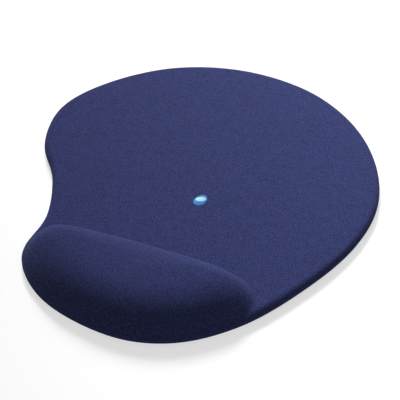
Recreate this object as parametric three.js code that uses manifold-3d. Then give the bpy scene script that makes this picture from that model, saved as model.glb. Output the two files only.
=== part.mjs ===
// A mouse pad with a raised gel wrist rest, built as the layers that it is laminated from.
// Millimetres, +Z up. The pad lies on z = 0. +Y runs from the wrist rest to the far edge and +X to
// the user's right. The origin is under the middle of the pad's bounding box.
import * as THREE from "three";
import { mergeVertices } from "three/addons/utils/BufferGeometryUtils.js";
import Module from "manifold-3d";

// ---- Driving dimensions ----
const PAD_TOP = 6.8; // the flat mousing surface above the table
const EDGE_ROLL = 3.8; // radius of the padded top edge
const EDGE_UNDER = 1.4; // radius where the fabric turns under the pad
const BASE_THICK = 1.2; // non-slip sheet
const BASE_INSET = 2.2; // how far the non-slip sheet stays in from the fabric's edge
const GLUE_THICK = 0.3; // adhesive film on the non-slip sheet
const GLUE_INSET = 3.0;
const FABRIC_THICK = 0.7;
const FILM_THICK = 0.4; // films that hold the gel
const GAP = 0.2; // clearance between neighbouring layers
const HEM_WIDTH = 11; // fabric turned under the pad, from the outer edge inwards

// The wrist rest is a dome over a superellipse that the pad's front edge cuts short.
const REST_MIDDLE = new THREE.Vector2(-9.6, -88.7);
const REST_HALF_LONG = 69.4;
const REST_HALF_WIDE = 37.9;
const REST_SQUARENESS = 3.7; // 2 is an ellipse, and higher is squarer
const REST_TURN = THREE.MathUtils.degToRad(-3);
const REST_RISE = 16.5; // the dome's crest above the flat surface, before the saddle is taken out
const REST_SINK = 15; // the dome's curve starts this far below the flat surface
const REST_REACH = 27; // and reaches its full height this far in from the dome's edge
const REST_ROUNDNESS = 2.24; // 2 makes the curve a quarter ellipse, and higher fills its shoulder
const REST_TILT = -0.016; // the crest falls this much for each unit to the right
const REST_FILLET = 4.6; // blend between the dome and the flat surface
const FRONT_LEAD = 0.8; // the dome starts this far outside the pad's front edge
const CORNER_BLEND = 7; // blend where the superellipse crosses the pad's edge
const DIP_DEPTH = 1.1; // the shallow saddle that the wrist lies in
const DIP_MIDDLE = 8.8;
const DIP_HALF = 58;
const CREST = new THREE.Vector2(-8, -80);

const SEAT_INSET = 5.5; // wall of foam left between the dome's edge and the gel
const SEAT_FLOOR = 3.6; // height of the floor under the gel
const BADGE_LONG = 4.6; // half length of the oval badge
const BADGE_SHORT = 3.4; // half width of the oval badge
const BADGE_THICK = 0.2;
const MARK_THICK = 0.1;
const BADGE_PLACE = new THREE.Vector2(6.3, -8.8);
const BADGE_TURN = THREE.MathUtils.degToRad(70);
const MARK_LONG = 2.9; // half length of the mouse on the badge
const MARK_SHORT = 1.75;
const MARK_PLACE = new THREE.Vector2(6.3, -8.1);
const MARK_TURN = THREE.MathUtils.degToRad(20);
const WHEEL_PLACE = 1.55; // from the mouse's middle towards its buttons
const WHEEL_LONG = 0.6;
const WHEEL_SHORT = 0.32;

// The pad's outer edge, anticlockwise from the middle of the front: a narrow heel under the wrist
// rest, a broad round far side, and a waist for the thumb on the left.
const OUTLINE = [
  [-6.2, -116], [25.2, -110.1], [53.5, -89.6], [77.8, -56], [96.9, -15.7], [102.2, 20.1],
  [93.5, 55], [73.2, 85.3], [41.7, 107.6], [-2.2, 116.1], [-46.3, 105.9], [-82.6, 78.2],
  [-101.2, 46.6], [-98.3, 13.1], [-82.2, -13.7], [-72.7, -45.4], [-73.7, -77], [-52, -102.4],
];

// ---- Mesh density ----
const RAYS = 84; // points around the pad
const OUTLINE_POINTS = 400; // for distances from the pad's edge
const FOOT_LIMIT = 0.97; // the foot ring's farthest place on the way from the crest to the edge
const DOME_RINGS = [1, 0.97, 0.93, 0.86, 0.74, 0.56, 0.3]; // shares of the way from crest to foot
const ROLL_STEPS = 3;
const UNDER_STEPS = 2;

const wasm = await Module();
wasm.setup();

// ---- Plan of the pad ----
const corners = OUTLINE.map(([x, y]) => new THREE.Vector3(x, y, 0));
const outline = new THREE.CatmullRomCurve3(corners, true, "centripetal");
const outlinePoints = outline.getSpacedPoints(OUTLINE_POINTS);
const middle = new THREE.Box3().setFromPoints(outlinePoints).getCenter(new THREE.Vector3());

// Evenly spaced points around the pad, each with its outward normal.
const edge = Array.from({ length: RAYS }, (_, i) => {
  const at = outline.getPointAt(i / RAYS);
  const tangent = outline.getTangentAt(i / RAYS);
  return { at: new THREE.Vector2(at.x, at.y), out: new THREE.Vector2(tangent.y, -tangent.x) };
});

const inset = (p, distance) => p.at.clone().addScaledVector(p.out, -distance);

function edgeDistance(point) {
  const from = new THREE.Vector3(point.x, point.y, 0);
  const nearest = new THREE.Vector3();
  let distance = Infinity;
  for (let i = 0; i + 1 < outlinePoints.length; i++) {
    const side = new THREE.Line3(outlinePoints[i], outlinePoints[i + 1]);
    side.closestPointToPoint(from, true, nearest);
    distance = Math.min(distance, nearest.distanceTo(from));
  }
  return distance;
}

// ---- Height of the skin ----

function blendMax(a, b, blend) {
  const near = Math.max(blend - Math.abs(a - b), 0) / blend;
  return Math.max(a, b) + (near * near * blend) / 4;
}

const blendMin = (a, b, blend) => -blendMax(-a, -b, blend);

// Distance in from the superellipse, by its value and slope.
function superellipseDistance(point) {
  const from = point.clone().rotateAround(REST_MIDDLE, -REST_TURN).sub(REST_MIDDLE);
  const u = Math.abs(from.x) / REST_HALF_LONG;
  const v = Math.abs(from.y) / REST_HALF_WIDE;
  const n = REST_SQUARENESS;
  const value = Math.max((u ** n + v ** n) ** (1 / n), 1e-3);
  const slope =
    Math.hypot(u ** (n - 1) / REST_HALF_LONG, v ** (n - 1) / REST_HALF_WIDE) * value ** (1 - n);
  return (1 - value) / slope;
}

// Distance in from the dome's edge, which is the superellipse or the pad's own edge.
const domeDistance = (point, toEdge) =>
  blendMin(superellipseDistance(point), toEdge + FRONT_LEAD, CORNER_BLEND);

function skinHeight(point, toEdge) {
  const away = EDGE_ROLL - Math.min(toEdge, EDGE_ROLL);
  const flat = PAD_TOP - EDGE_ROLL + Math.sqrt(EDGE_ROLL ** 2 - away ** 2);
  const share = 1 - Math.min(Math.max(domeDistance(point, toEdge) / REST_REACH, 0), 1);
  const full = (REST_RISE + REST_SINK) * Math.sqrt(1 - share ** REST_ROUNDNESS);
  const dip = DIP_DEPTH * Math.exp(-(((point.x - DIP_MIDDLE) / DIP_HALF) ** 2));
  const lean = (REST_TILT * (point.x - CREST.x) - dip) * (1 - share ** 2);
  const blend = REST_FILLET * Math.min(Math.max(toEdge / EDGE_ROLL, 0.05), 1);
  return blendMax(flat, PAD_TOP - REST_SINK + full + lean, blend);
}

// The last point on the way from the crest that is a distance in from the dome's edge.
function domePoint(towards, distance) {
  const halvings = 20;
  let low = 0;
  let high = 1;
  for (let step = 0; step < halvings; step++) {
    const half = (low + high) / 2;
    const point = CREST.clone().lerp(towards, half);
    if (domeDistance(point, edgeDistance(point)) > distance) low = half;
    else high = half;
  }
  return CREST.clone().lerp(towards, low);
}

// ---- The skin: rings of points from the side of the pad up and over to the crest ----

const skinPoint = (at, toEdge) => new THREE.Vector3(at.x, at.y, skinHeight(at, toEdge));

const skin = [];
for (let k = 0; k <= ROLL_STEPS; k++) {
  const away = EDGE_ROLL * (1 - Math.cos(((k / ROLL_STEPS) * Math.PI) / 2));
  skin.push(edge.map((p) => skinPoint(inset(p, away), away)));
}
const foot = edge.map((p) => domePoint(CREST.clone().lerp(inset(p, EDGE_ROLL), FOOT_LIMIT), 0));
for (const share of DOME_RINGS) {
  skin.push(
    foot.map((p) => {
      const at = CREST.clone().lerp(p, share);
      return skinPoint(at, edgeDistance(at));
    }),
  );
}
const crest = skinPoint(CREST, edgeDistance(CREST));

// Triangles of a closed body of rings: a bottom point, the rings upwards, and a top point.
function ringTriangles(ringCount) {
  const bottom = ringCount * RAYS;
  const triangles = [];
  for (let i = 0; i < RAYS; i++) {
    const j = (i + 1) % RAYS;
    triangles.push(bottom, j, i);
    for (let low = 0; low < bottom - RAYS; low += RAYS) {
      triangles.push(low + i, low + j, low + RAYS + j);
      triangles.push(low + i, low + RAYS + j, low + RAYS + i);
    }
    triangles.push(bottom - RAYS + i, bottom - RAYS + j, bottom + 1);
  }
  return triangles;
}

function bodyOfRings(rings, floor, top) {
  const points = [...rings.flat(), new THREE.Vector3(CREST.x, CREST.y, floor), top];
  const geometry = new THREE.BufferGeometry().setFromPoints(points);
  geometry.setIndex(ringTriangles(rings.length));
  return geometry;
}

// The skin's outward directions. The lowest ring faces straight out from the pad.
const skinShape = bodyOfRings(skin, skin[0][0].z, crest);
skinShape.computeVertexNormals();
const normals = skin.map((ring, r) =>
  ring.map((_, i) =>
    r === 0
      ? new THREE.Vector3(edge[i].out.x, edge[i].out.y, 0)
      : new THREE.Vector3().fromBufferAttribute(skinShape.attributes.normal, r * RAYS + i),
  ),
);

// ---- Solids ----

function solidOf(geometry) {
  geometry.deleteAttribute("normal");
  geometry.deleteAttribute("uv");
  const merged = mergeVertices(geometry, 1e-4);
  return new wasm.Manifold(
    new wasm.Mesh({
      numProp: 3,
      vertProperties: merged.attributes.position.array,
      triVerts: Uint32Array.from(merged.index.array),
    }),
  );
}

// Everything inside the skin at a depth, down to a flat floor. turn is the radius of its lower edge.
function loaf(depth, floor, turn = 0) {
  const rings = [];
  for (let k = 0; k <= (turn > 0 ? UNDER_STEPS : 0); k++) {
    const angle = ((k / UNDER_STEPS) * Math.PI) / 2;
    const away = depth + turn * (1 - Math.sin(angle));
    const height = floor + turn * (1 - Math.cos(angle));
    rings.push(
      edge.map((p) => {
        const at = inset(p, away);
        return new THREE.Vector3(at.x, at.y, height);
      }),
    );
  }
  skin.forEach((ring, r) =>
    rings.push(ring.map((p, i) => p.clone().addScaledVector(normals[r][i], -depth))),
  );
  const top = crest.clone().setZ(crest.z - depth);
  return solidOf(bodyOfRings(rings, floor, top));
}

// A slab with the given plan points, from one height to another.
function slab(points, low, high) {
  const settings = { depth: high - low, bevelEnabled: false };
  const geometry = new THREE.ExtrudeGeometry(new THREE.Shape(points), settings);
  return solidOf(geometry.translate(0, 0, low));
}

const edgeSlab = (distance, low, high) =>
  slab(edge.map((p) => inset(p, distance)), low, high);

// A slab under the dome, a distance in from the dome's edge.
const seatSlab = (distance, low, high) =>
  slab(edge.map((p) => domePoint(p.at, distance)), low, high);

// ---- Heights of the stack ----
const hemLow = BASE_THICK + GLUE_THICK;
const hemHigh = hemLow + FABRIC_THICK;
const filmDepth = FABRIC_THICK + GAP;
const foamDepth = filmDepth + FILM_THICK + GAP;
const backingLow = SEAT_FLOOR + GAP;
const backingHigh = backingLow + FILM_THICK;
const aboveAll = 2 * (PAD_TOP + REST_RISE);

const baseSheet = () => edgeSlab(BASE_INSET, 0, BASE_THICK);

const baseAdhesive = () => edgeSlab(GLUE_INSET, BASE_THICK, hemLow);

function fabricCover() {
  const cavity = loaf(FABRIC_THICK, hemHigh, EDGE_UNDER - FABRIC_THICK);
  const window = edgeSlab(HEM_WIDTH, 0, hemHigh + 1);
  return loaf(0, hemLow, EDGE_UNDER).subtract(cavity).subtract(window);
}

// The film laminated inside the cover, from the side of the pad over the dome.
function barrierFilm() {
  const low = PAD_TOP - EDGE_ROLL;
  return loaf(filmDepth, low).subtract(loaf(filmDepth + FILM_THICK, low - 1));
}

// Fills the pad, with a plug inside the turned hem and a seat for the gel.
function foamCore() {
  const plug = edgeSlab(HEM_WIDTH + GAP, hemLow, hemHigh + 1);
  const seat = seatSlab(SEAT_INSET, SEAT_FLOOR, aboveAll);
  return loaf(foamDepth, hemHigh + GAP).add(plug).subtract(seat);
}

const gelBackingFilm = () => seatSlab(SEAT_INSET + GAP, backingLow, backingHigh);

function gelCore() {
  const seat = seatSlab(SEAT_INSET + GAP, 0, aboveAll);
  return loaf(foamDepth, backingHigh + GAP).intersect(seat);
}

// ---- The badge: a generic picture of a mouse on an oval ----

function printed(shape, turn, place, low, thick) {
  const settings = { depth: thick, bevelEnabled: false, curveSegments: 10 };
  const geometry = new THREE.ExtrudeGeometry(shape, settings);
  geometry.rotateZ(turn);
  geometry.translate(place.x, place.y, low);
  return solidOf(geometry);
}

const ellipse = (shape, x, halfLong, halfShort) =>
  shape.absellipse(x, 0, halfLong, halfShort, 0, 2 * Math.PI);

function badgeOval() {
  const oval = ellipse(new THREE.Shape(), 0, BADGE_LONG, BADGE_SHORT);
  return printed(oval, BADGE_TURN, BADGE_PLACE, PAD_TOP, BADGE_THICK);
}

function badgeMark() {
  const mouse = ellipse(new THREE.Shape(), 0, MARK_LONG, MARK_SHORT);
  mouse.holes.push(ellipse(new THREE.Path(), WHEEL_PLACE, WHEEL_LONG, WHEEL_SHORT));
  return printed(mouse, MARK_TURN, MARK_PLACE, PAD_TOP + BADGE_THICK, MARK_THICK);
}

// ---- Materials ----
const matt = (color, roughness) =>
  new THREE.MeshStandardMaterial({ color, roughness, metalness: 0 });
const navyFabric = matt(0x3c4069, 0.95);
const clearFilm = matt(0xc9d3de, 0.25);
const paleGel = matt(0x9fc4dd, 0.15);
const greyFoam = matt(0x3a3c42, 0.9);
const adhesive = matt(0xe4ddc4, 0.4);
const blackRubber = matt(0x17181a, 0.75);
const badgeBlue = matt(0x2f86cc, 0.45);
const badgeWhite = matt(0xf2f6f8, 0.45);

// ---- Assembly ----

function piece(name, solid, material) {
  const mesh = solid.getMesh();
  const geometry = new THREE.BufferGeometry();
  const positions = new THREE.BufferAttribute(mesh.vertProperties, mesh.numProp);
  geometry.setAttribute("position", positions);
  geometry.setIndex(new THREE.BufferAttribute(mesh.triVerts, 1));
  geometry.computeVertexNormals();
  const made = new THREE.Mesh(geometry, material);
  made.name = name;
  return made;
}

const pad = new THREE.Group();
pad.add(
  piece("base_sheet", baseSheet(), blackRubber),
  piece("base_adhesive", baseAdhesive(), adhesive),
  piece("foam_core", foamCore(), greyFoam),
  piece("gel_backing_film", gelBackingFilm(), clearFilm),
  piece("gel_core", gelCore(), paleGel),
  piece("barrier_film", barrierFilm(), clearFilm),
  piece("fabric_cover", fabricCover(), navyFabric),
  piece("badge_oval", badgeOval(), badgeBlue),
  piece("badge_mark", badgeMark(), badgeWhite),
);
pad.position.set(-middle.x, -middle.y, 0);

export default pad;
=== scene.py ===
import math

import bpy
import numpy as np
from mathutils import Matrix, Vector, noise


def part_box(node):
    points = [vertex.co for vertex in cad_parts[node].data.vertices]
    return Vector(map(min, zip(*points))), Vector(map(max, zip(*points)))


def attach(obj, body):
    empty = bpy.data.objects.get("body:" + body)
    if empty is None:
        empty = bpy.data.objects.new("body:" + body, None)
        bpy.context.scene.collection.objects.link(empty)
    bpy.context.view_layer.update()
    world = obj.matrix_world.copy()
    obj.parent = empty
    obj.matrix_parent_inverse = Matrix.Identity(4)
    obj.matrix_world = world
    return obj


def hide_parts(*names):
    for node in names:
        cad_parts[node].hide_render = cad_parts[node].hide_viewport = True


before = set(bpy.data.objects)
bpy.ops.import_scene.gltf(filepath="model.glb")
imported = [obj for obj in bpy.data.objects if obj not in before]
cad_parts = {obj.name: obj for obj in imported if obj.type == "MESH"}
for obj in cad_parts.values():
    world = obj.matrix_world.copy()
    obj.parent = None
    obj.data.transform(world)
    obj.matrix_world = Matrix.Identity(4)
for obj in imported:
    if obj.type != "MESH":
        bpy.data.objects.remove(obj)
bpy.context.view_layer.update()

MM = 0.001

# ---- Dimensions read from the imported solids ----
COVER_LOW, COVER_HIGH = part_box("fabric_cover")
BASE_LOW, BASE_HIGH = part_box("base_sheet")
GLUE_LOW, GLUE_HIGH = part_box("base_adhesive")
BACKING_LOW, BACKING_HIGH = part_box("gel_backing_film")
FOAM_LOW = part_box("foam_core")[0]
GEL_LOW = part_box("gel_core")[0]
OVAL_LOW, OVAL_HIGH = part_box("badge_oval")
MARK_LOW, MARK_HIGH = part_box("badge_mark")
PAD_TOP = OVAL_LOW.z
BASE_INSET = COVER_HIGH.y - BASE_HIGH.y
GLUE_INSET = COVER_HIGH.y - GLUE_HIGH.y
HEM_LOW = COVER_LOW.z

# ---- Dimensions shared with the solids ----
EDGE_ROLL = 3.8 * MM
EDGE_UNDER = 1.4 * MM
FABRIC_THICK = 0.7 * MM
FILM_THICK = 0.4 * MM
GAP = 0.2 * MM
HEM_WIDTH = 11 * MM
REST_MIDDLE = np.array([-9.6, -88.7]) * MM
REST_HALF_LONG = 69.4 * MM
REST_HALF_WIDE = 37.9 * MM
REST_SQUARENESS = 3.7
REST_TURN = math.radians(-3)
REST_RISE = 16.5 * MM
REST_SINK = 15 * MM
REST_REACH = 27 * MM
REST_ROUNDNESS = 2.24
REST_TILT = -0.016
REST_FILLET = 4.6 * MM
FRONT_LEAD = 0.8 * MM
CORNER_BLEND = 7 * MM
DIP_DEPTH = 1.1 * MM
DIP_MIDDLE = 8.8 * MM
DIP_HALF = 58 * MM
CREST = np.array([-8, -80]) * MM
SEAT_INSET = 5.5 * MM
BADGE_LONG = 4.6 * MM
BADGE_SHORT = 3.4 * MM
BADGE_TURN = math.radians(70)
MARK_LONG = 2.9 * MM
MARK_SHORT = 1.75 * MM
MARK_TURN = math.radians(20)
WHEEL_PLACE = 1.55 * MM
WHEEL_LONG = 0.6 * MM
WHEEL_SHORT = 0.32 * MM

# ---- Mesh density ----
FINE_RAYS = 336
INNER_RAYS = 112
BADGE_RAYS = 96
COVE_RAYS = 48
UNDER_STEPS = 5
HEM_STEPS = 6
HALVINGS = 20  # steps of the search for the dome's foot and the gel's seat
FOOT_LIMIT = 0.99  # the foot ring's farthest place on the way from the crest to the flat part's edge
SEAT_LIMIT = 0.96  # the seat ring's farthest place on the way from the crest to the foot ring
DOME_CROWDING = 0.9  # below 1, the dome's rings crowd towards the seat

# ---- How the gel's pressure shapes the cloth ----
SIM_STRIDE = 4  # the simulated copy has every fourth ray and ring
SIM_FRAMES = 20
SIM_PRESSURE = 4
SIM_QUALITY = 6
SIM_SHRINK = 0.7 * MM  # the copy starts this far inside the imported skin
SIM_CAP = 0.6 * MM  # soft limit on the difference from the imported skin, inwards or outwards
SIM_FADE = 16 * MM  # the difference grows from nothing at the dome's foot over this distance
WAVE_HEIGHT = 0.1 * MM


# ---- Plan of the pad ----

def lowest_loop(node):
    """The corners of a slab's lower face, anticlockwise."""
    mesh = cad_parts[node].data
    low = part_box(node)[0].z + 0.01 * MM
    corners = {(round(v.co.x, 7), round(v.co.y, 7)) for v in mesh.vertices if v.co.z < low}
    return np.array(sorted(corners, key=lambda c: math.atan2(c[1] - CREST[1], c[0] - CREST[0])))


def smooth_loop(corners, count):
    """Evenly spaced points on a closed Catmull-Rom curve through the corners."""
    before, after, beyond = (np.roll(corners, k, axis=0) for k in (1, -1, -2))
    t = np.linspace(0, 1, 12, endpoint=False)[None, :, None]
    a, b, c, d = (p[:, None, :] for p in (before, corners, after, beyond))
    curve = 0.5 * (
        2 * b + (c - a) * t + (2 * a - 5 * b + 4 * c - d) * t**2 + (3 * b - a - 3 * c + d) * t**3
    )
    curve = curve.reshape(-1, 2)
    closed = np.vstack([curve, curve[:1]])
    along = np.concatenate([[0], np.cumsum(np.linalg.norm(np.diff(closed, axis=0), axis=1))])
    at = np.linspace(0, along[-1], count, endpoint=False)
    return np.stack([np.interp(at, along, closed[:, k]) for k in range(2)], axis=1)


def outward(loop):
    tangent = np.roll(loop, -1, axis=0) - np.roll(loop, 1, axis=0)
    tangent /= np.linalg.norm(tangent, axis=1)[:, None]
    return np.stack([tangent[:, 1], -tangent[:, 0]], axis=1)


BASE_LOOP = smooth_loop(lowest_loop("base_sheet"), 2 * FINE_RAYS)
EDGE_LOOP = BASE_LOOP + outward(BASE_LOOP) * BASE_INSET


def edge_distance(points):
    """Distance of each point from the pad's outer edge."""
    start = EDGE_LOOP
    side = np.roll(EDGE_LOOP, -1, axis=0) - start
    length = (side**2).sum(1)
    out = np.empty(len(points))
    for i in range(0, len(points), 2000):
        part = points[i : i + 2000, None, :] - start[None]
        share = np.clip((part * side).sum(2) / length, 0, 1)
        out[i : i + 2000] = np.sqrt(((part - share[..., None] * side) ** 2).sum(2).min(1))
    return out


# ---- Height of the skin ----

def blend_max(a, b, blend):
    near = np.maximum(blend - np.abs(a - b), 0) / blend
    return np.maximum(a, b) + near**2 * blend / 4


def dome_distance(points, to_edge):
    """Distance in from the dome's edge: a superellipse that the pad's own edge cuts short."""
    turn = np.array([[math.cos(REST_TURN), -math.sin(REST_TURN)],
                     [math.sin(REST_TURN), math.cos(REST_TURN)]])
    u, v = np.abs((points - REST_MIDDLE) @ turn).T / np.array([[REST_HALF_LONG], [REST_HALF_WIDE]])
    n = REST_SQUARENESS
    value = np.maximum((u**n + v**n) ** (1 / n), 1e-3)
    slope = np.hypot(u ** (n - 1) / REST_HALF_LONG, v ** (n - 1) / REST_HALF_WIDE)
    inside = (1 - value) / (slope * value ** (1 - n) + 1e-9)
    return -blend_max(-inside, -(to_edge + FRONT_LEAD), CORNER_BLEND)


def skin_height(points, to_edge):
    away = EDGE_ROLL - np.minimum(to_edge, EDGE_ROLL)
    flat = PAD_TOP - EDGE_ROLL + np.sqrt(EDGE_ROLL**2 - away**2)
    share = 1 - np.clip(dome_distance(points, to_edge) / REST_REACH, 0, 1)
    full = (REST_RISE + REST_SINK) * np.sqrt(1 - share**REST_ROUNDNESS)
    dip = DIP_DEPTH * np.exp(-(((points[:, 0] - DIP_MIDDLE) / DIP_HALF) ** 2))
    lean = (REST_TILT * (points[:, 0] - CREST[0]) - dip) * (1 - share**2)
    blend = REST_FILLET * np.clip(to_edge / EDGE_ROLL, 0.05, 1)
    return blend_max(flat, PAD_TOP - REST_SINK + full + lean, blend)


def dome_points(towards, distance):
    """On each way from the crest, the last point that is a distance in from the dome's edge."""
    low = np.zeros(len(towards))
    high = np.ones(len(towards))
    for _ in range(HALVINGS):
        half = (low + high) / 2
        points = CREST + (towards - CREST) * half[:, None]
        inside = dome_distance(points, edge_distance(points)) > distance
        low = np.where(inside, half, low)
        high = np.where(inside, high, half)
    return CREST + (towards - CREST) * low[:, None]


class Skin:
    """The outer surface as rings of points, from the pad's side up and over to the crest."""

    def __init__(self, rays, roll_steps, flat_steps, seat_steps, dome_steps):
        self.edge = EDGE_LOOP[:: len(EDGE_LOOP) // rays]
        self.out = outward(EDGE_LOOP)[:: len(EDGE_LOOP) // rays]
        self.rings, self.cloth = [], []
        for k in range(roll_steps + 1):
            angle = k / roll_steps * math.pi / 2
            away = EDGE_ROLL * (1 - math.cos(angle))
            at = self.inset(away)
            self.add(at, np.full(rays, away), self.inset(EDGE_ROLL * (1 - math.pi / 2 + angle)))
        shoulder = self.inset(EDGE_ROLL)
        foot = dome_points(CREST + FOOT_LIMIT * (shoulder - CREST), 0)
        seat = dome_points(CREST + SEAT_LIMIT * (foot - CREST), SEAT_INSET)
        for k in range(1, flat_steps):
            self.add_between(shoulder + (foot - shoulder) * k / flat_steps)
        self.foot_ring = len(self.rings)
        for k in range(seat_steps):
            self.add_between(foot + (seat - foot) * k / seat_steps)
        self.seat_ring = len(self.rings)
        for k in range(dome_steps):
            self.add_between(CREST + (seat - CREST) * (1 - k / dome_steps) ** DOME_CROWDING)
        self.crest = self.lift(CREST[None], edge_distance(CREST[None]))[0]
        self.normals = self.find_normals()

    def inset(self, distance):
        return self.edge - self.out * distance

    def lift(self, at, to_edge):
        return np.column_stack([at, skin_height(at, to_edge)])

    def add(self, at, to_edge, cloth):
        self.rings.append(self.lift(at, to_edge))
        self.cloth.append(cloth)

    def add_between(self, at):
        self.add(at, edge_distance(at), at)

    def find_normals(self):
        rings = np.array(self.rings)
        up = np.empty_like(rings)
        up[1:-1] = rings[2:] - rings[:-2]
        up[0] = [0, 0, 1]
        up[-1] = rings[-1] - rings[-2]
        round_pad = np.roll(rings, -1, axis=1) - np.roll(rings, 1, axis=1)
        normals = np.cross(round_pad, up)
        return normals / np.linalg.norm(normals, axis=2)[..., None]

    def under(self, depth, floor, turn, steps):
        """The rings where the cloth turns under, from the lower face up to the pad's side."""
        rings = []
        for k in range(steps):
            angle = k / steps * math.pi / 2
            away = depth + turn * (1 - math.sin(angle))
            height = floor + turn * (1 - math.cos(angle))
            rings.append(np.column_stack([self.inset(away), np.full(len(self.edge), height)]))
        return rings

    def at_depth(self, depth):
        return [r - n * depth for r, n in zip(self.rings, self.normals)]

    def crest_at(self, depth):
        return self.crest - [0, 0, depth]


# ---- Meshes ----

def ring_faces(ring_count, rays, first=0, poles=(None, None)):
    """Quads between rings of points, and triangles from the first and last ring to the poles."""
    j = np.arange(rays)
    k = np.roll(j, -1)
    faces = []
    for r in range(ring_count - 1):
        low = first + r * rays
        faces += np.stack([low + j, low + k, low + rays + k, low + rays + j], axis=1).tolist()
    last = first + (ring_count - 1) * rays
    if poles[0] is not None:
        faces += np.stack([np.full(rays, poles[0]), first + k, first + j], axis=1).tolist()
    if poles[1] is not None:
        faces += np.stack([np.full(rays, poles[1]), last + j, last + k], axis=1).tolist()
    return faces


def new_piece(name, points, faces, material, node, slot, smooth_above=50):
    mesh = bpy.data.meshes.new(name)
    mesh.from_pydata(np.asarray(points).tolist(), [], faces)
    mesh.validate()
    mesh.materials.append(material)
    mesh.shade_smooth()
    mesh.set_sharp_from_angle(angle=math.radians(smooth_above))
    piece = bpy.data.objects.new(name, mesh)
    bpy.context.scene.collection.objects.link(piece)
    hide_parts(node)
    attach(piece, "root")
    return piece


def lofted(name, rings, poles, *looks):
    """A closed body of rings, from one pole to the other."""
    rays = len(rings[0])
    points = np.vstack([*rings, *[np.asarray(p)[None] for p in poles]])
    count = len(rings) * rays
    return new_piece(name, points, ring_faces(len(rings), rays, 0, (count, count + 1)), *looks)


def shelled(name, outer, outer_pole, inner, inner_pole, *looks):
    """A thin shell: the outer rings and the inner ones, joined along their first ring."""
    rays = len(outer[0])
    count = len(outer) * rays
    points = np.vstack([*outer, *inner, [outer_pole], [inner_pole]])
    faces = ring_faces(len(outer), rays, 0, (None, 2 * count))
    turned = ring_faces(len(inner), rays, count, (None, 2 * count + 1))
    faces += [f[::-1] for f in turned]
    j = np.arange(rays)
    k = np.roll(j, -1)
    faces += np.stack([count + j, count + k, k, j], axis=1).tolist()
    return new_piece(name, points, faces, *looks)


def level_ring(loop, height):
    return np.column_stack([loop, np.full(len(loop), height)])


def pole(height):
    return [CREST[0], CREST[1], height]


# ---- Materials ----

class Look:
    """A Principled material and the short calls that wire its nodes."""

    def __init__(self, name, roughness, **sockets):
        self.material = bpy.data.materials.new(name)
        self.material.use_nodes = True
        self.tree = self.material.node_tree
        self.surface = self.tree.nodes["Principled BSDF"]
        self.surface.inputs["Roughness"].default_value = roughness
        for socket, value in sockets.items():
            title = socket.replace("_", " ").title().replace("Ior", "IOR")
            self.surface.inputs[title].default_value = value

    def node(self, kind, settings=None, **inputs):
        made = self.tree.nodes.new(kind)
        for key, value in (settings or {}).items():
            setattr(made, key, value)
        for key, value in inputs.items():
            self.feed(made.inputs[key.replace("_", " ")], value)
        return made

    def feed(self, socket, value):
        if isinstance(value, bpy.types.NodeSocket):
            self.tree.links.new(value, socket)
        else:
            socket.default_value = value

    def math(self, operation, *values):
        made = self.tree.nodes.new("ShaderNodeMath")
        made.operation = operation
        for socket, value in zip(made.inputs, values):
            self.feed(socket, value)
        return made.outputs[0]

    def mix(self, share, a, b):
        made = self.tree.nodes.new("ShaderNodeMix")
        made.data_type = "RGBA"
        self.feed(made.inputs[0], share)
        self.feed(made.inputs[6], a)
        self.feed(made.inputs[7], b)
        return made.outputs[2]

    def noise(self, where, size, detail=2.0, roughness=0.5):
        """Noise whose features are about a size across, in metres."""
        made = self.node("ShaderNodeTexNoise", Vector=where, Scale=1 / size, Detail=detail,
                         Roughness=roughness)
        return made.outputs["Fac"]

    def levels(self, value, low, high, to_low=0.0, to_high=1.0):
        made = self.node("ShaderNodeMapRange", Value=value, From_Min=low, From_Max=high,
                         To_Min=to_low, To_Max=to_high)
        return made.outputs[0]

    def bump(self, height, distance, strength=1.0, below=None):
        made = self.node("ShaderNodeBump", Height=height, Distance=distance, Strength=strength)
        if below is not None:
            self.feed(made.inputs["Normal"], below)
        return made.outputs["Normal"]

    def finish(self, color, normal, roughness=None):
        self.feed(self.surface.inputs["Base Color"], color)
        self.feed(self.surface.inputs["Normal"], normal)
        if roughness is not None:
            self.feed(self.surface.inputs["Roughness"], roughness)
        return self.material


def object_place(look):
    return look.node("ShaderNodeTexCoord").outputs["Object"]


WALE = 0.62 * MM  # width of one column of knit stitches
COURSE = 0.5 * MM  # height of one row
SLANT = 1.3  # courses that a stitch's leg would climb across a whole wale
YARN = 0.95 * MM  # size of the mottling


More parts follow.
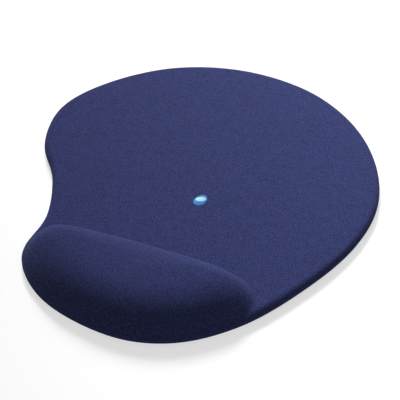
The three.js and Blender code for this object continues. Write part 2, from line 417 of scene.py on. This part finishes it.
def knit_fabric():
    """Navy stretch knit: rows of small V stitches with painted shade in the hollows between them,
    mottled yarn and a faint nap.
    """
    look = Look("navy_knit", 0.9, specular_ior_level=0.2, sheen_weight=0.02, sheen_roughness=0.4,
                sheen_tint=(0.45, 0.5, 0.8, 1))
    cloth = look.node("ShaderNodeUVMap", {"uv_map": "cloth"}).outputs[0]
    place = object_place(look)
    wander = look.noise(cloth, 6 * MM)
    apart = look.node("ShaderNodeSeparateXYZ", Vector=cloth)
    wave = look.math("MULTIPLY", look.math("SUBTRACT", wander, 0.5), 1.2)
    u = look.math("ADD", look.math("DIVIDE", apart.outputs[0], WALE), wave)
    v = look.math("ADD", look.math("DIVIDE", apart.outputs[1], COURSE), wave)
    across = look.math("PINGPONG", u, 0.5)
    slanted = look.math("ADD", v, look.math("MULTIPLY", across, SLANT))
    along = look.math("MULTIPLY", look.math("PINGPONG", slanted, 0.5), 2.0)
    leg = look.math("SINE", look.math("MULTIPLY", across, 2 * math.pi))
    stitch = look.math("MULTIPLY", along, leg)
    yarn = look.noise(cloth, YARN, 3.0, 0.7)
    patches = look.noise(place, 4 * MM, 3.0)
    light = look.math("ADD", look.levels(yarn, 0.3, 0.7, -0.05, 0.9),
                      look.levels(patches, 0.3, 0.7, 0.0, 0.16))
    # Painted shade: the colour follows the stitches' height, lighter on the raised legs and darker
    # in the hollows between them.
    light = look.math("ADD", light, look.math("MULTIPLY", look.math("SUBTRACT", stitch, 0.3), 0.4))
    dye = look.levels(look.noise(place, 1.1 * MM, 2.0), 0.35, 0.65)
    dark = look.mix(dye, (0.010, 0.010, 0.047, 1), (0.005, 0.013, 0.047, 1))
    bright = look.mix(dye, (0.059, 0.061, 0.254, 1), (0.044, 0.072, 0.250, 1))
    color = look.mix(light, dark, bright)
    rough = look.levels(yarn, 0.3, 0.7, 0.98, 0.82)
    fuzz = look.bump(yarn, 0.16 * MM, 0.6)
    return look.finish(color, look.bump(stitch, 0.2 * MM, 0.7, fuzz), rough)


def rubber_sheet():
    look = Look("grip_rubber", 0.7, specular_ior_level=0.4)
    place = object_place(look)
    grain = look.noise(place, 0.7 * MM, 4.0, 0.6)
    dust = look.levels(look.noise(place, 9 * MM, 4.0), 0.45, 0.75)
    color = look.mix(dust, (0.011, 0.011, 0.012, 1), (0.022, 0.022, 0.024, 1))
    rough = look.levels(grain, 0.3, 0.7, 0.62, 0.85)
    return look.finish(color, look.bump(grain, 0.08 * MM, 0.5), rough)


def open_foam():
    look = Look("grey_foam", 0.95, specular_ior_level=0.2)
    place = object_place(look)
    cells = look.node("ShaderNodeTexVoronoi", {"feature": "DISTANCE_TO_EDGE"}, Vector=place,
                      Scale=1 / (0.8 * MM)).outputs[0]
    pore_depth_and_shade = look.levels(cells, 0.0, 0.25)
    # Painted shade: the pores are coloured darker than the cell walls around them, darkest in their
    # middles.
    color = look.mix(pore_depth_and_shade, (0.075, 0.078, 0.085, 1), (0.03, 0.031, 0.035, 1))
    rough = look.levels(pore_depth_and_shade, 0, 1, 0.9, 1.0)
    return look.finish(color, look.bump(pore_depth_and_shade, -0.25 * MM, 0.7), rough)


def soft_gel():
    look = Look("pale_gel", 0.12, subsurface_weight=0.35, subsurface_scale=0.004, ior=1.42)
    place = object_place(look)
    cloud = look.noise(place, 14 * MM, 3.0)
    specks = look.levels(look.noise(place, 1.6 * MM, 1.0), 0.66, 0.72)
    color = look.mix(look.levels(cloud, 0.3, 0.7), (0.32, 0.52, 0.68, 1), (0.42, 0.62, 0.75, 1))
    color = look.mix(look.math("MULTIPLY", specks, 0.4), color, (0.75, 0.85, 0.9, 1))
    rough = look.levels(cloud, 0.3, 0.7, 0.08, 0.22)
    return look.finish(color, look.bump(cloud, 0.5 * MM, 0.3), rough)


def thin_film(name, pale, deep, roughness):
    look = Look(name, roughness, specular_ior_level=0.5)
    place = object_place(look)
    creases = look.noise(place, 11 * MM, 4.0, 0.65)
    color = look.mix(look.levels(creases, 0.35, 0.65), pale, deep)
    rough = look.levels(creases, 0.3, 0.7, roughness - 0.08, roughness + 0.12)
    return look.finish(color, look.bump(creases, 0.2 * MM, 0.4), rough)


def badge_ink(name, low_color, high_color):
    """Satin transfer ink that takes a little of the knit's texture."""
    look = Look(name, 0.6, specular_ior_level=0.12)
    place = object_place(look)
    press = look.noise(place, 0.8 * MM, 2.0)
    shift = look.levels(look.noise(place, 4 * MM, 1.0), 0.35, 0.65)
    color = look.mix(shift, low_color, high_color)
    rough = look.levels(press, 0.3, 0.7, 0.52, 0.72)
    return look.finish(color, look.bump(press, 0.05 * MM, 0.5), rough)


# ---- Layers ----

def cloth_swell(skin):
    """Where the dome's cloth settles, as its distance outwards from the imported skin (inwards is
    negative). It comes from a cloth simulation on a coarse copy, held all round the dome and under
    pressure from inside, and is softly limited. One row of distances for each ring."""
    scene = bpy.context.scene
    rings = np.array(skin.rings)[::SIM_STRIDE, ::SIM_STRIDE]
    normals = skin.normals[::SIM_STRIDE, ::SIM_STRIDE]
    count, rays = rings.shape[:2]
    free = np.arange(count) * SIM_STRIDE > skin.foot_ring
    start = rings - normals * (SIM_SHRINK * free[:, None, None])
    points = np.vstack([start.reshape(-1, 3), [pole(HEM_LOW)], [skin.crest_at(SIM_SHRINK)]])
    mesh = bpy.data.meshes.new("blank")
    faces = ring_faces(count, rays, 0, (count * rays, count * rays + 1))
    mesh.from_pydata(points.tolist(), [], faces)
    blank = bpy.data.objects.new("blank", mesh)
    scene.collection.objects.link(blank)
    held = blank.vertex_groups.new(name="held")
    fixed = np.flatnonzero(np.repeat(~free, rays)).tolist()
    held.add(fixed + [count * rays], 1.0, "REPLACE")
    cloth = blank.modifiers.new("cloth", "CLOTH")
    cloth.settings.quality = SIM_QUALITY
    cloth.settings.vertex_group_mass = "held"
    cloth.settings.use_pressure = True
    cloth.settings.uniform_pressure_force = SIM_PRESSURE
    cloth.settings.effector_weights.gravity = 0
    cloth.point_cache.frame_start = 1
    cloth.point_cache.frame_end = SIM_FRAMES
    for frame_number in range(1, SIM_FRAMES + 1):
        scene.frame_set(frame_number)
    result = blank.evaluated_get(bpy.context.evaluated_depsgraph_get()).to_mesh()
    moved = np.empty(3 * len(result.vertices))
    result.vertices.foreach_get("co", moved)
    moved = moved.reshape(-1, 3)[: count * rays].reshape(rings.shape)
    scene.frame_set(1)
    bpy.data.objects.remove(blank)
    swell = ((moved - rings) * normals).sum(2) * free[:, None]
    away = np.array([dome_distance(r[:, :2], edge_distance(r[:, :2])) for r in rings])
    swell = SIM_CAP * np.tanh(swell / SIM_CAP) * smooth_step(away / SIM_FADE)
    return spread(swell, len(skin.rings), len(skin.edge))


def smooth_step(share):
    share = np.clip(share, 0, 1)
    return share * share * (3 - 2 * share)


def spread(grid, rows, columns):
    """A coarse grid of values, round the rays, as a fine one without creases."""
    at = np.arange(columns) * grid.shape[1] / columns
    closed = np.column_stack([grid, grid[:, :1]])
    wide = np.array([np.interp(at, np.arange(closed.shape[1]), row) for row in closed])
    down = np.minimum(np.arange(rows) / SIM_STRIDE, len(grid) - 1)
    fine = np.array([np.interp(down, np.arange(len(grid)), column) for column in wide.T]).T
    for _ in range(2 * SIM_STRIDE):
        fine = (np.roll(fine, 1, axis=1) + 2 * fine + np.roll(fine, -1, axis=1)) / 4
        fine[1:-1] = (fine[:-2] + 2 * fine[1:-1] + fine[2:]) / 4
    return fine


def uneven(place):
    """The slight waviness of foam and gel under cloth, from -1 to 1."""
    small = noise.noise(place / (11 * MM) + Vector((5, 2, 9)))
    return 0.75 * noise.noise(place / (34 * MM)) + 0.25 * small


def softened(skin):
    """The skin's rings as the gel and the foam shape them."""
    swell = cloth_swell(skin)
    moved = []
    for ring, normals, out in zip(skin.rings, skin.normals, swell):
        waves = np.array([uneven(Vector(p)) for p in ring]) * WAVE_HEIGHT
        moved.append(ring + normals * (waves + out)[:, None])
    return moved


def make_cover(skin):
    hem_places = np.linspace(HEM_WIDTH, EDGE_UNDER * 1.4, HEM_STEPS)
    hem = [level_ring(skin.inset(d), HEM_LOW) for d in hem_places]
    turn = skin.under(0, HEM_LOW, EDGE_UNDER, UNDER_STEPS)
    hem_in = [level_ring(skin.inset(d), HEM_LOW + FABRIC_THICK) for d in hem_places]
    turn_in = skin.under(FABRIC_THICK, HEM_LOW + FABRIC_THICK,
                         EDGE_UNDER - FABRIC_THICK, UNDER_STEPS)
    top = softened(skin)
    inner = [r - n * FABRIC_THICK for r, n in zip(top, skin.normals)]
    crest = top[-1].mean(0) + [0, 0, skin.crest[2] - skin.rings[-1].mean(0)[2]]
    cover = shelled("knit_cover", hem + turn + top, crest,
                    hem_in + turn_in + inner, crest - [0, 0, FABRIC_THICK],
                    knit_fabric(), "fabric_cover", "navy_fabric")
    # The stitches follow the flat cloth, so the hem and the turn are unrolled beyond the side.
    side = EDGE_ROLL * (1 - math.pi / 2)
    turn_length = EDGE_UNDER * math.pi / 2
    unrolled = [skin.inset(side - turn_length - d) for d in np.linspace(HEM_WIDTH, 0, HEM_STEPS)]
    unrolled += [skin.inset(side - turn_length * (1 - k / UNDER_STEPS))
                 for k in range(UNDER_STEPS)]
    cloth = np.vstack([*unrolled, *skin.cloth])
    cloth = np.vstack([cloth, cloth, [CREST], [CREST]])
    layer = cover.data.uv_layers.new(name="cloth")
    corners = np.empty(len(cover.data.loops), int)
    cover.data.loops.foreach_get("vertex_index", corners)
    layer.data.foreach_set("uv", cloth[corners].astype(np.float32).ravel())
    return cover


def make_barrier(skin):
    depth = FABRIC_THICK + GAP
    film = thin_film("barrier_film", (0.62, 0.68, 0.76, 1), (0.5, 0.58, 0.68, 1), 0.25)
    return shelled("barrier_skin", skin.at_depth(depth), skin.crest_at(depth),
                   skin.at_depth(depth + FILM_THICK), skin.crest_at(depth + FILM_THICK),
                   film, "barrier_film", "clear_film")


def make_foam(skin):
    depth = FABRIC_THICK + FILM_THICK + 2 * GAP
    shelf = HEM_LOW + FABRIC_THICK + GAP
    low, seat_floor = FOAM_LOW.z, BACKING_LOW.z - GAP
    top = skin.at_depth(depth)[: skin.seat_ring + 1]
    plug = skin.inset(HEM_WIDTH + GAP)
    rings = [level_ring(plug, low), level_ring(plug, shelf), level_ring(skin.inset(depth), shelf),
             *top, level_ring(top[-1][:, :2], seat_floor)]
    return lofted("foam_pad", rings, (pole(low), pole(seat_floor)),
                  open_foam(), "foam_core", "grey_foam")


def make_gel(skin):
    depth = FABRIC_THICK + FILM_THICK + 2 * GAP
    top = skin.at_depth(depth)[skin.seat_ring + 1 :]
    rings = [level_ring(top[0][:, :2], GEL_LOW.z), *top]
    return lofted("gel_body", rings, (pole(GEL_LOW.z), skin.crest_at(depth)),
                  soft_gel(), "gel_core", "pale_gel")


def make_slab(name, loop, low, high, *looks, round_by=0.08 * MM):
    """A flat sheet with slightly rounded edges."""
    inner = loop - outward(loop) * round_by
    rings = [level_ring(inner, low), level_ring(loop, low + round_by),
             level_ring(loop, high - round_by), level_ring(inner, high)]
    return lofted(name, rings, (pole(low), pole(high)), *looks)


DOT_PITCH = 3.2 * MM
DOT_RADIUS = 0.95 * MM
DOT_HEIGHT = 0.3 * MM
DOT_SIDES = 8
ROW_PITCH = DOT_PITCH * 0.866  # alternate rows sit in the gaps of their neighbours
BASE_BEVEL = 0.25 * MM


def make_base(skin):
    """The non-slip sheet, whose underside is moulded with low round studs that carry the pad."""
    loop = skin.inset(BASE_INSET)
    inner = loop - skin.out * BASE_BEVEL
    low = BASE_LOW.z + DOT_HEIGHT
    rings = [level_ring(inner, low), level_ring(loop, low + BASE_BEVEL),
             level_ring(loop, BASE_HIGH.z - 0.1 * MM), level_ring(inner, BASE_HIGH.z)]
    rays = len(loop)
    points = [np.vstack([*rings, [pole(low)], [pole(BASE_HIGH.z)]])]
    faces = ring_faces(4, rays, 0, (4 * rays, 4 * rays + 1))
    first = len(points[0])
    turns = np.arange(DOT_SIDES) / DOT_SIDES * 2 * math.pi
    circle = np.column_stack([np.cos(turns), np.sin(turns)])
    half = (BASE_HIGH - BASE_LOW) / 2
    rows = int(half.y / ROW_PITCH) + 1
    columns = int(half.x / DOT_PITCH) + 1
    centres = np.array([
        [(c + 0.5 * (r % 2)) * DOT_PITCH, r * ROW_PITCH]
        for r in range(-rows, rows + 1) for c in range(-columns, columns + 1)
    ])
    inside = np.array([inside_pad(c) for c in centres])
    centres = centres[inside & (edge_distance(centres) > BASE_INSET + 1.8 * DOT_RADIUS)]
    for centre in centres:
        stud = [level_ring(centre + circle * DOT_RADIUS * 0.72, BASE_LOW.z),
                level_ring(centre + circle * DOT_RADIUS * 0.9, BASE_LOW.z + 0.35 * DOT_HEIGHT),
                level_ring(centre + circle * DOT_RADIUS, low + 0.1 * MM)]
        points.append(np.vstack([*stud, [[*centre, BASE_LOW.z]], [[*centre, low + 0.1 * MM]]]))
        last = first + 3 * DOT_SIDES
        faces += ring_faces(3, DOT_SIDES, first, (last, last + 1))
        first = last + 2
    return new_piece("grip_sheet", np.vstack(points), faces,
                     rubber_sheet(), "base_sheet", "black_rubber", 35)


def inside_pad(point):
    start, end = EDGE_LOOP, np.roll(EDGE_LOOP, -1, axis=0)
    crosses = (start[:, 1] > point[1]) != (end[:, 1] > point[1])
    x = start[:, 0] + (point[1] - start[:, 1]) * (end[:, 0] - start[:, 0]) / (
        end[:, 1] - start[:, 1] + 1e-12)
    return (crosses & (point[0] < x)).sum() % 2 == 1


# ---- The badge ----

def oval(place, turn, half_long, half_short, along=0.0):
    """The outline of an oval; along moves it on its own long axis."""
    t = np.arange(BADGE_RAYS) / BADGE_RAYS * 2 * math.pi
    c, s = np.cos(t), np.sin(t)
    shape = np.column_stack([half_long * c + along, half_short * s])
    c, s = math.cos(turn), math.sin(turn)
    return shape @ np.array([[c, s], [-s, c]]) + place


def middle_of(low, high):
    return np.array([(low.x + high.x) / 2, (low.y + high.y) / 2])


def make_badge():
    """A printed oval with a slight crown, and on it a generic picture of a mouse with its wheel."""
    place = middle_of(OVAL_LOW, OVAL_HIGH)
    low, high = OVAL_LOW.z, OVAL_HIGH.z
    rings = [level_ring(oval(place, BADGE_TURN, BADGE_LONG, BADGE_SHORT), low)]
    for size, share in ((1.0, 0.45), (0.985, 0.7), (0.95, 0.85), (0.85, 0.95), (0.5, 1.0)):
        loop = oval(place, BADGE_TURN, BADGE_LONG * size, BADGE_SHORT * size)
        rings.append(level_ring(loop, low + share * (high - low)))
    lofted("badge_print", rings, ([*place, low], [*place, high]),
           badge_ink("badge_blue", (0.02, 0.18, 0.52, 1), (0.05, 0.29, 0.7, 1)),
           "badge_oval", "badge_blue")
    place = middle_of(MARK_LOW, MARK_HIGH)
    low, high = MARK_LOW.z, MARK_HIGH.z
    body = oval(place, MARK_TURN, MARK_LONG, MARK_SHORT)
    wheel = oval(place, MARK_TURN, WHEEL_LONG, WHEEL_SHORT, WHEEL_PLACE)
    rings = [level_ring(body, low), level_ring(body, low + 0.6 * (high - low))]
    for share in (0.06, 0.2, 0.5, 0.8, 0.94):
        rings.append(level_ring(body + (wheel - body) * share, high))
    rings += [level_ring(wheel, low + 0.6 * (high - low)), level_ring(wheel, low)]
    faces = ring_faces(len(rings) + 1, BADGE_RAYS)
    faces = (np.array(faces) % (len(rings) * BADGE_RAYS)).tolist()
    new_piece("badge_mouse", np.vstack(rings), faces,
              badge_ink("badge_white", (0.42, 0.76, 0.88, 1), (0.55, 0.86, 0.95, 1)),
              "badge_mark", "badge_white")


# ---- Studio ----

CAMERA_TARGET = Vector((3.8, -1.7, 0)) * MM
CAMERA_AZIMUTH = math.radians(18)
CAMERA_ELEVATION = math.radians(43)
CAMERA_DISTANCE = 757 * MM


def make_camera():
    level = math.cos(CAMERA_ELEVATION)
    back = Vector((math.sin(CAMERA_AZIMUTH) * level, -math.cos(CAMERA_AZIMUTH) * level,
                   math.sin(CAMERA_ELEVATION)))
    data = bpy.data.cameras.new("camera")
    data.sensor_width = 36
    data.lens = 119.1
    camera = bpy.data.objects.new("camera", data)
    camera.location = CAMERA_TARGET + back * CAMERA_DISTANCE
    camera.rotation_euler = back.to_track_quat("Z", "Y").to_euler()
    bpy.context.scene.collection.objects.link(camera)
    bpy.context.scene.camera = camera


def make_light(name, place, aim, size, energy, spread):
    """A round soft box. It is brightest where it aims, and fades around that within its spread."""
    data = bpy.data.lights.new(name, "AREA")
    data.shape = "DISK"
    data.size = size
    data.energy = energy
    data.spread = math.radians(spread)
    light = bpy.data.objects.new(name, data)
    light.location = place
    light.rotation_euler = (Vector(place) - Vector(aim)).to_track_quat("Z", "Y").to_euler()
    bpy.context.scene.collection.objects.link(light)


FLOOR_REACH = 2.4
COVE_RADIUS = 0.8
COVE_HEIGHT = 2.6
COVE_GLOW = 0.62


def make_cove():
    """A pale floor that curves up into a wall all round. It glows a little, but shines no diffuse
    light on the pad and casts no shadow, so only the picture and the reflections show it."""
    turns = np.arange(COVE_RAYS) / COVE_RAYS * 2 * math.pi
    circle = np.column_stack([np.cos(turns), np.sin(turns)])
    rings = [level_ring(circle * r, 0) for r in (0.4, 1.0, 1.7, FLOOR_REACH)]
    for angle in np.linspace(0, math.pi / 2, 10)[1:]:
        rings.append(level_ring(circle * (FLOOR_REACH + COVE_RADIUS * math.sin(angle)),
                                COVE_RADIUS * (1 - math.cos(angle))))
    rings.append(level_ring(circle * (FLOOR_REACH + COVE_RADIUS), COVE_HEIGHT))
    mesh = bpy.data.meshes.new("cove")
    faces = ring_faces(len(rings), COVE_RAYS, 0, (len(rings) * COVE_RAYS, None))
    mesh.from_pydata(np.vstack([*rings, [[0, 0, 0]]]).tolist(), [], [f[::-1] for f in faces])
    mesh.shade_smooth()
    look = Look("pale_cove", 0.9, specular_ior_level=0.1, emission_strength=COVE_GLOW)
    look.surface.inputs["Emission Color"].default_value = (1, 1, 1, 1)
    place = object_place(look)
    tint = look.mix(look.noise(place, 0.4, 2.0), (0.5, 0.5, 0.5, 1), (0.52, 0.52, 0.52, 1))
    mesh.materials.append(look.finish(tint, look.bump(look.noise(place, 2 * MM), 0.02 * MM, 0.1)))
    cove = bpy.data.objects.new("cove", mesh)
    cove.visible_diffuse = False
    cove.visible_shadow = False
    bpy.context.scene.collection.objects.link(cove)


SURROUND = 0.2
SURROUND_LEFT = 0.07  # the surround darkens to this towards the pad's left
KEY_PLACE = (-0.57, 1.63, 1.35)
KEY_AIM = (0.3, 0.3, 0)
KEY_SIZE = 0.8
KEY_ENERGY = 6.05
KEY_SPREAD = 40


def make_studio():
    make_cove()
    make_light("key", KEY_PLACE, KEY_AIM, KEY_SIZE, KEY_ENERGY, KEY_SPREAD)
    world = bpy.data.worlds.new("world")
    world.use_nodes = True
    nodes, links = world.node_tree.nodes, world.node_tree.links
    nodes["Background"].inputs[0].default_value = (1, 1, 1, 1)
    apart = nodes.new("ShaderNodeSeparateXYZ")
    links.new(nodes.new("ShaderNodeTexCoord").outputs["Generated"], apart.inputs[0])
    level = nodes.new("ShaderNodeMapRange")
    for socket, value in (("From Min", -1), ("From Max", 0),
                          ("To Min", SURROUND_LEFT), ("To Max", SURROUND)):
        level.inputs[socket].default_value = value
    links.new(apart.outputs[0], level.inputs["Value"])
    links.new(level.outputs[0], nodes["Background"].inputs[1])
    bpy.context.scene.world = world
    bpy.context.scene.view_settings.view_transform = "Standard"


# ---- Assembly ----
make_camera()
fine = Skin(FINE_RAYS, roll_steps=10, flat_steps=8, seat_steps=12, dome_steps=36)
inner = Skin(INNER_RAYS, roll_steps=5, flat_steps=4, seat_steps=8, dome_steps=16)
cover = make_cover(fine)
make_barrier(inner)
foam = make_foam(inner)
gel = make_gel(inner)
make_slab("backing_film", dome_points(inner.edge, SEAT_INSET + GAP), BACKING_LOW.z, BACKING_HIGH.z,
          thin_film("backing_film", (0.6, 0.66, 0.74, 1), (0.5, 0.57, 0.66, 1), 0.3),
          "gel_backing_film", "clear_film")
make_slab("adhesive_layer", inner.inset(GLUE_INSET), GLUE_LOW.z, GLUE_HIGH.z,
          thin_film("adhesive_layer", (0.78, 0.74, 0.58, 1), (0.7, 0.65, 0.48, 1), 0.45),
          "base_adhesive", "adhesive_film")
make_base(fine)
make_badge()
make_studio()
